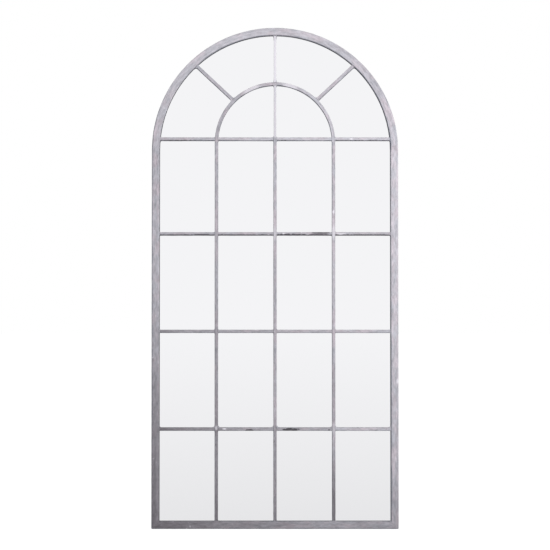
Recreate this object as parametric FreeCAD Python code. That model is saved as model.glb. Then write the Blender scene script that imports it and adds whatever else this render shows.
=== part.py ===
"""Arched window mirror: a welded tube frame and glazing bars over one sheet of mirror.

All lengths are in millimetres. The mirror stands upright: X runs to the viewer's right, Z runs up
and the viewer looks along +Y. The origin is the middle of the bottom rail's underside, half way
through the depth of the frame.
"""
import FreeCAD
import Part
import math
import os

# Panes between the bars, as clear sizes
PANE_WIDTH = 179.25
PANE_HEIGHT_FOOT = 291.5
PANE_HEIGHT_MIDDLE = 305.5
PANE_HEIGHT_TOP = 297.5

# Frame tube
FRAME_FACE = 25.0
FRAME_WALL = 1.5
FRAME_CORNER_RADIUS = 2.0
FOOT_GRIND_RADIUS = 4.0

# Glazing bars
BAR_FACE = 11.0
BAR_DEPTH = 10.0
BAR_EDGE_RADIUS = 1.5
BAR_RECESS = 2.0
CROWN_FACE = 8.0

# Arched head, measured from the middle of the top cross bar
SPRING_DROP = 37.5
INNER_SPRING_DROP = 10.5
SPOKE_ANGLE = 43.1

# Glass, board and what beds them
TAPE_THICKNESS = 1.0
TAPE_INSET = 1.5
GLASS_THICKNESS = 4.0
GLASS_EDGE_GAP = 1.0
BOARD_THICKNESS = 4.0
BLOCK_LENGTH = 40.0
BLOCK_WIDTH_SHARES = (-0.5, 0.5)

# Clips that hold the board
CLIP_STEP = 4.0
CLIP_THICKNESS = 1.5
CLIP_WIDTH = 16.0
CLIP_TONGUE = 14.0
CLIP_TUBE_GAP = 0.5
CLIP_EDGE_MARGIN = 4.0
CLIP_BEND_RADIUS = 0.6
CLIP_STILE_SHARES = (0.1, 0.45, 0.8)
CLIP_RAIL_SHARES = (-0.6, 0.0, 0.6)
CLIP_ARCH_ANGLES = (35.0, 90.0, 145.0)

# Screws
SCREW_RADIUS = 1.75
SCREW_LENGTH = 9.0
SCREW_TIP = 2.0
SCREW_HEAD_RADIUS = 3.4
SCREW_HEAD_HEIGHT = 2.2
SCREW_HEAD_ROUND = 1.0
SCREW_CROSS_LENGTH = 3.6
SCREW_CROSS_WIDTH = 0.8
SCREW_CROSS_DEPTH_SHARE = 0.55
SCREW_HOLE_GAP = 0.05
SCREW_PLATE_GAP = 0.25

# Hangers
HANGER_DROP = 60.0
STRAP_WIDTH = 12.0
STRAP_THICKNESS = 1.5
STRAP_FOOT_FLAT = 2.0
STRAP_SCREW_SPACING = 14.0
STRAP_END_MARGIN = 9.0
STRAP_SLIT = 1.2
RING_WIRE_RADIUS = 1.5
RING_LOOP_GAP = 0.3
RING_SIDE_GAP = 0.5
RING_CORNER_RADIUS = 3.0
RING_LEG = 5.0
RING_SCREW_GAP = 4.6

# Wall pads
PAD_RADIUS = 9.0
PAD_TAPER = 1.0
PAD_PROUD = 1.4
PAD_HEIGHT_ABOVE_FLOOR = 60.0

# How far a cutting shape runs past what it cuts
OVERRUN = 5.0

# Widths and heights that follow from the sizes above
bar_pitch = PANE_WIDTH + BAR_FACE
half_opening = BAR_FACE / 2 + PANE_WIDTH + BAR_FACE + PANE_WIDTH
half_width = half_opening + FRAME_FACE
frame_width = 2 * half_width
pane_heights = (PANE_HEIGHT_FOOT, PANE_HEIGHT_MIDDLE, PANE_HEIGHT_MIDDLE, PANE_HEIGHT_TOP)
row_heights = []
pane_top = FRAME_FACE
for pane_height in pane_heights:
    pane_top += pane_height
    row_heights.append(pane_top + BAR_FACE / 2)
    pane_top += BAR_FACE
transom_height = row_heights[-1]
spring_height = transom_height - SPRING_DROP
inner_spring_height = transom_height - INNER_SPRING_DROP
frame_height = spring_height + half_width

# Depths that follow, from the front of the frame to the back
frame_depth = BAR_RECESS + BAR_DEPTH + TAPE_THICKNESS + GLASS_THICKNESS + BOARD_THICKNESS + CLIP_STEP
front_y = -frame_depth / 2
rear_y = frame_depth / 2
bar_front_y = front_y + BAR_RECESS
bar_rear_y = bar_front_y + BAR_DEPTH
glass_front_y = bar_rear_y + TAPE_THICKNESS
board_front_y = glass_front_y + GLASS_THICKNESS
board_rear_y = board_front_y + BOARD_THICKNESS

# Hanger places that follow
hanger_height = spring_height - HANGER_DROP
stile_middle = half_width - FRAME_FACE / 2
loop_radius = RING_WIRE_RADIUS + RING_LOOP_GAP
roll_radius = loop_radius + STRAP_THICKNESS
ring_axis_y = rear_y + roll_radius
ring_half_width = STRAP_WIDTH / 2 + RING_SIDE_GAP + RING_CORNER_RADIUS
ring_reach = RING_CORNER_RADIUS + RING_LEG + ring_half_width + RING_WIRE_RADIUS
first_screw_drop = ring_reach + RING_SCREW_GAP + SCREW_HEAD_RADIUS
strap_screw_drops = (first_screw_drop, first_screw_drop + STRAP_SCREW_SPACING)
strap_length = strap_screw_drops[-1] + STRAP_END_MARGIN
strap_end_radius = (STRAP_WIDTH - STRAP_FOOT_FLAT) / 2


def vector(x, y, z):
    """Return a FreeCAD vector."""
    return FreeCAD.Vector(x, y, z)


def one_solid(shape):
    """Return a cut or joined shape as the single clean solid that it is."""
    return shape.removeSplitter().Solids[0]


def rounded_rectangle(width, depth, radius, middle_x, middle_y):
    """Return a flat face in the XY plane: a rectangle with round corners."""
    reach_x = width / 2 - radius
    reach_y = depth / 2 - radius
    arcs = []
    for side_x, side_y, angle in ((1, 1, 0), (-1, 1, 90), (-1, -1, 180), (1, -1, 270)):
        centre = vector(middle_x + side_x * reach_x, middle_y + side_y * reach_y, 0)
        arcs.append(Part.makeCircle(radius, centre, vector(0, 0, 1), angle, angle + 90))
    edges = []
    for arc, following in zip(arcs, arcs[1:] + arcs[:1]):
        edges.append(arc)
        edges.append(Part.makeLine(arc.Vertexes[-1].Point, following.Vertexes[0].Point))
    return Part.Face(Part.Wire(edges))


def depth_box(x_low, x_high, z_low, z_high, y_front, y_rear):
    """Return a plain block from its limits."""
    corner = vector(x_low, y_front, z_low)
    return Part.makeBox(x_high - x_low, y_rear - y_front, z_high - z_low, corner)


def prism(points, y_front, y_rear):
    """Return a solid with an outline of (x, z) points, running through the depth."""
    corners = [vector(x, y_front, z) for x, z in points]
    outline = Part.makePolygon(corners + corners[:1])
    return Part.Face(outline).extrude(vector(0, y_rear - y_front, 0))


def arched_panel(half, bottom, spring, y_front, y_rear):
    """Return a panel with a straight foot and sides and a half-round head."""
    left_foot = vector(-half, y_front, bottom)
    right_foot = vector(half, y_front, bottom)
    left_spring = vector(-half, y_front, spring)
    right_spring = vector(half, y_front, spring)
    crown = vector(0, y_front, spring + half)
    edges = [
        Part.makeLine(left_foot, right_foot),
        Part.makeLine(right_foot, right_spring),
        Part.Arc(right_spring, crown, left_spring).toShape(),
        Part.makeLine(left_spring, left_foot),
    ]
    return Part.Face(Part.Wire(edges)).extrude(vector(0, y_rear - y_front, 0))


def straight_run(section, start, end):
    """Sweep a section from one (x, z) point to another, keeping its depth along Y."""
    across = end[0] - start[0]
    rise = end[1] - start[1]
    run = section.extrude(vector(0, 0, math.hypot(across, rise)))
    run.rotate(vector(0, 0, 0), vector(0, 1, 0), math.degrees(math.atan2(across, rise)))
    run.translate(vector(start[0], 0, start[1]))
    return run


def half_round_run(section, height):
    """Sweep a section that lies off the axis over a half circle round (0, height)."""
    start = section.copy()
    start.translate(vector(0, 0, height))
    return start.revolve(vector(0, 0, height), vector(0, -1, 0), 180)


def face_outwards(shape, x, z, inward_x, inward_z):
    """Move a piece made at the origin to the frame's inner edge, its +X turned to the opening."""
    placed = shape.copy()
    placed.rotate(vector(0, 0, 0), vector(0, 1, 0), math.degrees(math.atan2(-inward_z, inward_x)))
    placed.translate(vector(x, 0, z))
    return placed


# Zones that trim the bars, deep enough for the bars and the tape behind them
def zone(half, spring):
    """Return the space inside an arched outline that stands on the bottom rail."""
    return arched_panel(half, FRAME_FACE, spring, front_y - OVERRUN, rear_y + OVERRUN)


def zones():
    """Return the space between inner arch and frame, and the space inside the inner arch."""
    opening = zone(half_opening, spring_height)
    between = opening.cut(zone(bar_pitch + BAR_FACE / 2, inner_spring_height))
    inside = zone(bar_pitch - BAR_FACE / 2, inner_spring_height)
    return between, inside


# Frame
def tube_sections(middle_x):
    """Return the outer and the inner outline of the frame tube."""
    bore_face = FRAME_FACE - 2 * FRAME_WALL
    bore_depth = frame_depth - 2 * FRAME_WALL
    bore_radius = max(FRAME_CORNER_RADIUS - FRAME_WALL, FRAME_WALL / 4)
    outer = rounded_rectangle(FRAME_FACE, frame_depth, FRAME_CORNER_RADIUS, middle_x, 0)
    inner = rounded_rectangle(bore_face, bore_depth, bore_radius, middle_x, 0)
    return outer, inner


def straight_tube(start, end):
    """Return a length of frame tube between two points."""
    outer, inner = tube_sections(0)
    return straight_run(outer, start, end).cut(straight_run(inner, start, end))


def foot_outline():
    """Return the frame's whole outline with its two foot corners ground round."""
    blank = depth_box(-half_width, half_width, 0, spring_height, front_y - OVERRUN, rear_y + OVERRUN)
    foot_edges = [
        edge
        for edge in blank.Edges
        if all(abs(vertex.Z) < FOOT_GRIND_RADIUS for vertex in edge.Vertexes)
        and abs(edge.Vertexes[0].Y - edge.Vertexes[-1].Y) > FOOT_GRIND_RADIUS
    ]
    return blank.makeFillet(FOOT_GRIND_RADIUS, foot_edges)


def drilled(tube, side):
    """Return a tube with the pilot holes of the screws that enter it."""
    for place in screw_places(side):
        tube = tube.cut(pilot_hole(place))
    return one_solid(tube)


def frame_pieces():
    """Return the arch, both stiles and the rail of the welded frame."""
    mitred_rail = prism(
        (
            (-half_width, 0),
            (half_width, 0),
            (half_opening, FRAME_FACE),
            (-half_opening, FRAME_FACE),
        ),
        front_y - OVERRUN,
        rear_y + OVERRUN,
    )
    ground_foot = foot_outline()
    rail_middle = FRAME_FACE / 2
    rail = straight_tube((-half_width, rail_middle), (half_width, rail_middle))
    pieces = {"bottom_rail": drilled(rail.common(mitred_rail).common(ground_foot), "rail")}
    for side, sign in (("left", -1), ("right", 1)):
        middle = sign * stile_middle
        stile = straight_tube((middle, 0), (middle, spring_height))
        pieces["stile_" + side] = drilled(stile.cut(mitred_rail).common(ground_foot), side)
    outer, inner = tube_sections(stile_middle)
    arch = half_round_run(outer, spring_height).cut(half_round_run(inner, spring_height))
    pieces["frame_arch"] = drilled(arch, "arch")
    return pieces


# Glazing bars, and the tape that follows each of them
def bar_section(face, middle_x):
    """Return the outline of a glazing bar of a given face width."""
    middle_y = (bar_front_y + bar_rear_y) / 2
    return rounded_rectangle(face, BAR_DEPTH, BAR_EDGE_RADIUS, middle_x, middle_y)


def tape_section(face, middle_x):
    """Return the outline of the tape behind a bar of a given face width."""
    left = middle_x - face / 2 + TAPE_INSET
    right = middle_x + face / 2 - TAPE_INSET
    corners = [
        vector(left, bar_rear_y, 0),
        vector(right, bar_rear_y, 0),
        vector(right, glass_front_y, 0),
        vector(left, glass_front_y, 0),
    ]
    return Part.Face(Part.makePolygon(corners + corners[:1]))


def glazing_runs(section_of):
    """Return every run of the glazing grid, named, for one kind of section."""
    between, inside = zones()
    runs = {}
    transom_top = transom_height + BAR_FACE / 2
    for side, column in (("left", -1), ("centre", 0), ("right", 1)):
        top = inner_spring_height if column else transom_top
        x = column * bar_pitch
        runs["upright_" + side] = straight_run(section_of(BAR_FACE, 0), (x, FRAME_FACE), (x, top))
    runs["inner_arch"] = half_round_run(section_of(BAR_FACE, bar_pitch), inner_spring_height)
    crown = section_of(CROWN_FACE, 0)
    over_arch = inner_spring_height + bar_pitch
    runs["crown_bar_lower"] = straight_run(crown, (0, transom_top), (0, over_arch)).common(inside)
    runs["crown_bar_upper"] = straight_run(crown, (0, over_arch), (0, frame_height)).common(between)
    slant = math.radians(SPOKE_ANGLE)
    for side, sign in (("left", -1), ("right", 1)):
        reach = (sign * frame_width * math.cos(slant), transom_height + frame_width * math.sin(slant))
        spoke = straight_run(section_of(BAR_FACE, 0), (0, transom_height), reach)
        runs["spoke_" + side] = spoke.common(between)
    for row, height in enumerate(reversed(row_heights), start=1):
        spans = (
            (-half_width, -bar_pitch, between),
            (-bar_pitch, -BAR_FACE / 2, inside),
            (BAR_FACE / 2, bar_pitch, inside),
            (bar_pitch, half_width, between),
        )
        for column, (low, high, room) in enumerate(spans, start=1):
            bar = straight_run(section_of(BAR_FACE, 0), (low, height), (high, height))
            runs["cross_bar_row%d_col%d" % (row, column)] = bar.common(room)
    return {name: one_solid(run) for name, run in runs.items()}


# Glass, board and what beds them
def glazed_sheet(y_front, y_rear):
    """Return a sheet cut to the frame's opening with an even gap round it."""
    half = half_opening - GLASS_EDGE_GAP
    return arched_panel(half, FRAME_FACE + GLASS_EDGE_GAP, spring_height, y_front, y_rear)


def setting_blocks():
    """Return the two blocks that the glass and the board stand on."""
    blocks = []
    for share in BLOCK_WIDTH_SHARES:
        low = share * half_opening - BLOCK_LENGTH / 2
        high = low + BLOCK_LENGTH
        top = FRAME_FACE + GLASS_EDGE_GAP
        blocks.append(depth_box(low, high, FRAME_FACE, top, glass_front_y, board_rear_y))
    return Part.makeCompound(blocks)


def edge_gasket():
    """Return the strip that fills the gap round the glass and the board, cut away at the blocks."""
    opening = arched_panel(half_opening, FRAME_FACE, spring_height, glass_front_y, board_rear_y)
    return opening.cut(glazed_sheet(glass_front_y, board_rear_y)).cut(setting_blocks())


# Clips and screws
def clip_stations():
    """Return each clip's place on the frame's inner edge, by the tube that it is screwed to."""
    stations = {"left": [], "right": [], "rail": [], "arch": []}
    for share in CLIP_STILE_SHARES:
        height = share * spring_height
        stations["left"].append((-half_opening, height, 1, 0))
        stations["right"].append((half_opening, height, -1, 0))
    for share in CLIP_RAIL_SHARES:
        stations["rail"].append((share * half_opening, FRAME_FACE, 0, 1))
    for angle in CLIP_ARCH_ANGLES:
        across = math.cos(math.radians(angle))
        up = math.sin(math.radians(angle))
        place = (half_opening * across, spring_height + half_opening * up, -across, -up)
        stations["arch"].append(place)
    return stations


def clip_shape():
    """Return one stepped clip, its step at the origin and its tongue along +X."""
    outer_end = -(FRAME_FACE - CLIP_EDGE_MARGIN)
    near = CLIP_TUBE_GAP
    far = near + CLIP_THICKNESS
    tongue_end = near + CLIP_TONGUE
    leg_top = rear_y + CLIP_THICKNESS
    tongue_top = board_rear_y + CLIP_THICKNESS
    outline = (
        (outer_end, rear_y),
        (near, rear_y),
        (near, board_rear_y),
        (tongue_end, board_rear_y),
        (tongue_end, tongue_top),
        (far, tongue_top),
        (far, leg_top),
        (outer_end, leg_top),
    )
    corners = [vector(x, y, -CLIP_WIDTH / 2) for x, y in outline]
    face = Part.Face(Part.makePolygon(corners + corners[:1]))
    clip = face.extrude(vector(0, 0, CLIP_WIDTH))
    bends = [
        edge
        for edge in clip.Edges
        if abs(edge.Vertexes[0].Z - edge.Vertexes[-1].Z) > CLIP_WIDTH / 2
        and -CLIP_TUBE_GAP < edge.Vertexes[0].X < far + CLIP_TUBE_GAP
    ]
    clip = clip.makeFillet(CLIP_BEND_RADIUS, bends)
    hole_radius = SCREW_RADIUS + SCREW_PLATE_GAP
    start = vector(-FRAME_FACE / 2, rear_y - OVERRUN, 0)
    return clip.cut(Part.makeCylinder(hole_radius, 2 * OVERRUN + CLIP_THICKNESS, start, vector(0, 1, 0)))


def screw_shape(seat_y):
    """Return one pan-head screw on the Y axis, its head seated on a plate at seat_y."""
    points = (
        (0, seat_y - SCREW_LENGTH),
        (SCREW_RADIUS, seat_y - SCREW_LENGTH + SCREW_TIP),
        (SCREW_RADIUS, seat_y),
        (SCREW_HEAD_RADIUS, seat_y),
        (SCREW_HEAD_RADIUS, seat_y + SCREW_HEAD_HEIGHT),
        (0, seat_y + SCREW_HEAD_HEIGHT),
    )
    corners = [vector(x, y, 0) for x, y in points]
    screw = Part.Face(Part.makePolygon(corners + corners[:1])).revolve(
        vector(0, 0, 0), vector(0, 1, 0), 360
    )
    head_top = seat_y + SCREW_HEAD_HEIGHT
    rim = [
        edge
        for edge in screw.Edges
        if edge.BoundBox.YMin > head_top - SCREW_HEAD_ROUND / 2 and edge.BoundBox.XMax > SCREW_RADIUS
    ]
    screw = screw.makeFillet(SCREW_HEAD_ROUND, rim)
    half_length = SCREW_CROSS_LENGTH / 2
    half_slot = SCREW_CROSS_WIDTH / 2
    floor = head_top - SCREW_CROSS_DEPTH_SHARE * SCREW_HEAD_HEIGHT
    top = head_top + OVERRUN
    screw = screw.cut(depth_box(-half_length, half_length, -half_slot, half_slot, floor, top))
    screw = screw.cut(depth_box(-half_slot, half_slot, -half_length, half_length, floor, top))
    return one_solid(screw)


def screw_places(side):
    """Return the (x, z) places where screws enter one tube of the frame."""
    places = []
    for x, z, inward_x, inward_z in clip_stations()[side]:
        places.append((x - inward_x * FRAME_FACE / 2, z - inward_z * FRAME_FACE / 2))
    if side in ("left", "right"):
        sign = 1 if side == "right" else -1
        for drop in strap_screw_drops:
            places.append((sign * stile_middle, hanger_height - drop))
    return places


def pilot_hole(place):
    """Return the hole through a tube's rear wall for the screw at one place."""
    start = vector(place[0], rear_y - FRAME_WALL - SCREW_TIP, place[1])
    length = FRAME_WALL + SCREW_TIP + OVERRUN
    return Part.makeCylinder(SCREW_RADIUS + SCREW_HOLE_GAP, length, start, vector(0, 1, 0))


def clips_and_screws():
    """Return the group of clips and the group of their screws."""
    clip = clip_shape()
    screw = screw_shape(rear_y + CLIP_THICKNESS)
    screw.translate(vector(-FRAME_FACE / 2, 0, 0))
    clips = []
    screws = []
    for stations in clip_stations().values():
        for x, z, inward_x, inward_z in stations:
            clips.append(face_outwards(clip, x, z, inward_x, inward_z))
            screws.append(face_outwards(screw, x, z, inward_x, inward_z))
    return Part.makeCompound(clips), Part.makeCompound(screws)


# Hangers
def strap_shape():
    """Return one hanger strap: a plate on the stile with its top end rolled into a loop."""
    half = STRAP_WIDTH / 2
    foot = hanger_height - strap_length
    plate = depth_box(-half, half, foot, hanger_height, rear_y, rear_y + STRAP_THICKNESS)
    foot_edges = [
        edge
        for edge in plate.Edges
        if abs(edge.Vertexes[0].Y - edge.Vertexes[-1].Y) > STRAP_THICKNESS / 2
        and edge.Vertexes[0].Z < hanger_height - STRAP_THICKNESS
    ]
    plate = plate.makeFillet(strap_end_radius, foot_edges)
    start = vector(-half, ring_axis_y, hanger_height)
    along = vector(1, 0, 0)
    roll = Part.makeCylinder(roll_radius, STRAP_WIDTH, start, along)
    roll = roll.cut(Part.makeCylinder(loop_radius, STRAP_WIDTH, start, along))
    slit_front = rear_y + STRAP_THICKNESS
    slit_low = hanger_height - roll_radius - OVERRUN
    slit = depth_box(-half, half, slit_low, hanger_height, slit_front, slit_front + STRAP_SLIT)
    strap = roll.cut(slit).fuse(plate)
    hole_radius = SCREW_RADIUS + SCREW_PLATE_GAP
    for drop in strap_screw_drops:
        hole_start = vector(0, rear_y - OVERRUN, hanger_height - drop)
        hole_length = 2 * OVERRUN + STRAP_THICKNESS
        strap = strap.cut(Part.makeCylinder(hole_radius, hole_length, hole_start, vector(0, 1, 0)))
    return one_solid(strap)


def ring_shape():
    """Return one hanging ring on its hinge axis, hanging straight down."""
    straight = ring_half_width - RING_CORNER_RADIUS
    leg_top = -RING_CORNER_RADIUS
    leg_foot = leg_top - RING_LEG
    diagonal = RING_CORNER_RADIUS * math.sin(math.radians(45))
    knuckle = straight + diagonal
    knuckle_z = leg_top + diagonal

    def at(x, z):
        """Return a point of the ring's middle line."""
        return vector(x, ring_axis_y, hanger_height + z)

    edges = [
        Part.makeLine(at(0, 0), at(straight, 0)),
        Part.Arc(at(straight, 0), at(knuckle, knuckle_z), at(ring_half_width, leg_top)).toShape(),
        Part.makeLine(at(ring_half_width, leg_top), at(ring_half_width, leg_foot)),
        Part.Arc(
            at(ring_half_width, leg_foot),
            at(0, leg_foot - ring_half_width),
            at(-ring_half_width, leg_foot),
        ).toShape(),
        Part.makeLine(at(-ring_half_width, leg_foot), at(-ring_half_width, leg_top)),
        Part.Arc(at(-ring_half_width, leg_top), at(-knuckle, knuckle_z), at(-straight, 0)).toShape(),
        Part.makeLine(at(-straight, 0), at(0, 0)),
    ]
    wire_end = Part.Wire(Part.makeCircle(RING_WIRE_RADIUS, at(0, 0), vector(1, 0, 0)))
    return Part.Wire(edges).makePipeShell([wire_end], True, True)


def hanger_pieces():
    """Return straps, rings and their screws for both stiles."""
    pieces = {}
    screws = []
    for side, sign in (("left", -1), ("right", 1)):
        sideways = vector(sign * stile_middle, 0, 0)
        strap = strap_shape()
        strap.translate(sideways)
        pieces["hanger_strap_" + side] = strap
        ring = ring_shape()
        ring.translate(sideways)
        pieces["hang_ring_" + side] = ring
        for drop in strap_screw_drops:
            screw = screw_shape(rear_y + STRAP_THICKNESS)
            screw.translate(vector(sign * stile_middle, 0, hanger_height - drop))
            screws.append(screw)
    pieces["hanger_screws"] = Part.makeCompound(screws)
    return pieces


def wall_pads():
    """Return the two pads near the foot, as thick as the hangers and a little more."""
    thickness = 2 * roll_radius + PAD_PROUD
    pads = []
    for sign in (-1, 1):
        foot = vector(sign * stile_middle, rear_y, PAD_HEIGHT_ABOVE_FLOOR)
        pads.append(Part.makeCone(PAD_RADIUS, PAD_RADIUS - PAD_TAPER, thickness, foot, vector(0, 1, 0)))
    return Part.makeCompound(pads)


def all_pieces():
    """Return every piece of the mirror by its name."""
    pieces = frame_pieces()
    pieces.update(glazing_runs(bar_section))
    pieces["glazing_tape"] = Part.makeCompound(list(glazing_runs(tape_section).values()))
    pieces["mirror_glass"] = glazed_sheet(glass_front_y, board_front_y)
    pieces["backing_board"] = glazed_sheet(board_front_y, board_rear_y)
    pieces["setting_blocks"] = setting_blocks()
    pieces["edge_gasket"] = edge_gasket()
    pieces["backing_clips"], pieces["clip_screws"] = clips_and_screws()
    pieces.update(hanger_pieces())
    pieces["wall_pads"] = wall_pads()
    return pieces


os.makedirs("parts", exist_ok=True)
for name, shape in all_pieces().items():
    shape.exportStep("parts/" + name + ".step")
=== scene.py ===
"""Looks of an arched metal window mirror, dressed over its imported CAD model.

Lengths are metres in the CAD model's frame: X runs to the viewer's right, Z runs up and the viewer
looks along +Y. Every iron bar is swept by Geometry Nodes along the middle line of the CAD node that it
stands for, and weld beads are set in the corners between the bars. Sheet goods and bought fittings
keep their CAD shapes and get finishes of their own.
"""
import logging
import math
from dataclasses import dataclass, field
from enum import Enum
from typing import Any

import bmesh
import bpy
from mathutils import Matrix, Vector


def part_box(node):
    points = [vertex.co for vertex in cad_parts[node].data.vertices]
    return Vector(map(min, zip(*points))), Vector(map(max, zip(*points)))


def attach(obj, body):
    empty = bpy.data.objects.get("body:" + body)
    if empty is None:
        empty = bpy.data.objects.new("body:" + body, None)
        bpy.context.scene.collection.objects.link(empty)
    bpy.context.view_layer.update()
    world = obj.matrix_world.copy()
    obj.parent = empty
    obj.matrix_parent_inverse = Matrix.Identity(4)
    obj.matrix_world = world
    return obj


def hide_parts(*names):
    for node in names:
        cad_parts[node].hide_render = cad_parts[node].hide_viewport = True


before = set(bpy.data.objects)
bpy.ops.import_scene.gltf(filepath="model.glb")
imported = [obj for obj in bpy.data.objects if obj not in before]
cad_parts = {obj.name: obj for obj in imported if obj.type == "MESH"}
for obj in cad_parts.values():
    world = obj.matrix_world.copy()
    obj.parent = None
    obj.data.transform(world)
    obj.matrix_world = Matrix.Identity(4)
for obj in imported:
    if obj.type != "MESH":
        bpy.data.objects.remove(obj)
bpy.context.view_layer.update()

log = logging.getLogger("arched_mirror")

MM = 0.001
IMAGE_SIDE = 550
WHITE = "#ffffff"
RGBA = tuple[float, float, float, float]
Point = tuple[float, float, float]
Pair = tuple[float, float]
Tree = bpy.types.NodeTree
Socket = bpy.types.NodeSocket
Inputs = dict[str | int, Any]

# Blender's names of the kinds of node that are used most
ATTRIBUTE = "ShaderNodeAttribute"
BUMP = "ShaderNodeBump"
MATH = "ShaderNodeMath"
MIX = "ShaderNodeMix"
NOISE = "ShaderNodeTexNoise"
RANGE = "ShaderNodeMapRange"
READ = "GeometryNodeInputNamedAttribute"
SEPARATE = "ShaderNodeSeparateXYZ"
STORE = "GeometryNodeStoreNamedAttribute"
VECTOR = "ShaderNodeVectorMath"

# Most of what a noise gives lies between these
NOISE_SPREAD = (0.3, 0.7)
# A wave texture repeats at this distance where its scale is one
WAVE_PERIOD = math.pi / 10
# The way from the viewer to the wall
BACKWARDS = (0.0, 1.0, 0.0)


class Body(Enum):
    """The CAD bodies that pieces ride on."""

    MIRROR = "mirror"


class Slot(Enum):
    """The record's material slots."""

    IRON = "iron_wash"
    RUBBER = "black_rubber"


class Bend(Enum):
    """How the middle line of a bar runs."""

    STRAIGHT = False
    HALF_ROUND = True


class Side(Enum):
    """A side of a bar, seen along its run."""

    NONE = 0.0
    RIGHT = -1.0


class MarkKind(Enum):
    """What shows at a mark in the wash, by the name of the mark's attribute."""

    BARE = "chip"
    PALE = "pale"
    SMOKY = "smoke"


def linear(colour: str) -> RGBA:
    """Turn an sRGB hex colour into the linear colour that shaders take.

    Args:
        colour: the colour as written, such as "#aba8ae".

    Returns:
        Red, green, blue and an alpha of one.
    """
    shares = [int(colour[place:place + 2], 16) / 255 for place in (1, 3, 5)]
    red, green, blue = (s / 12.92 if s <= 0.04045 else ((s + 0.055) / 1.055) ** 2.4 for s in shares)
    return red, green, blue, 1.0


def add(tree: Tree, kind: str, inputs: Inputs | None = None, **settings: Any) -> Any:
    """Add one node with its settings and links.

    Args:
        tree: the node tree that takes the node.
        kind: Blender's type name of the node.
        inputs: what a socket takes, by its identifier or number: a value, a hex colour or an output to
            link from. A pair under From or To fills the two sockets that go on with Min and Max.
        settings: options of the node by name.

    Returns:
        The node's first output in use, or None if it has none.
    """
    node = tree.nodes.new(kind)
    for name, option in settings.items():
        setattr(node, name, option)
    sockets = dict(enumerate(node.inputs)) | {socket.identifier: socket for socket in node.inputs}
    for key, given in (inputs or {}).items():
        ends = (f"{key} Min", f"{key} Max")
        for name, source in zip(ends, given) if ends[0] in sockets else [(key, given)]:
            if isinstance(source, Socket):
                tree.links.new(source, sockets[name])
            else:
                sockets[name].default_value = linear(source) if str(source).startswith("#") else source
    return next((socket for socket in node.outputs if socket.enabled), None)


def empty_tree(holder: bpy.types.Material | bpy.types.World) -> Tree:
    """Return the node tree of a new material or world with nothing in it."""
    holder.use_nodes = True
    holder.node_tree.nodes.clear()
    return holder.node_tree


# Finishes
class Finish:
    """A finish of one real material, made into a Blender material on first use."""

    name: str

    def sockets(self, tree: Tree, place: Socket) -> Inputs:
        """Return what the shader's sockets take; each finish has its own."""
        raise NotImplementedError

    def material(self) -> bpy.types.Material:
        """Return the finish as a material.

        Returns:
            The material, the same one at each call.
        """
        found = bpy.data.materials.get(self.name)
        if found:
            return found
        made = bpy.data.materials.new(self.name)
        tree = empty_tree(made)
        place = add(tree, "ShaderNodeTexCoord").node.outputs["Object"]
        shader = add(tree, "ShaderNodeBsdfPrincipled", self.sockets(tree, place))
        add(tree, "ShaderNodeOutputMaterial", {"Surface": shader})
        return made


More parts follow.
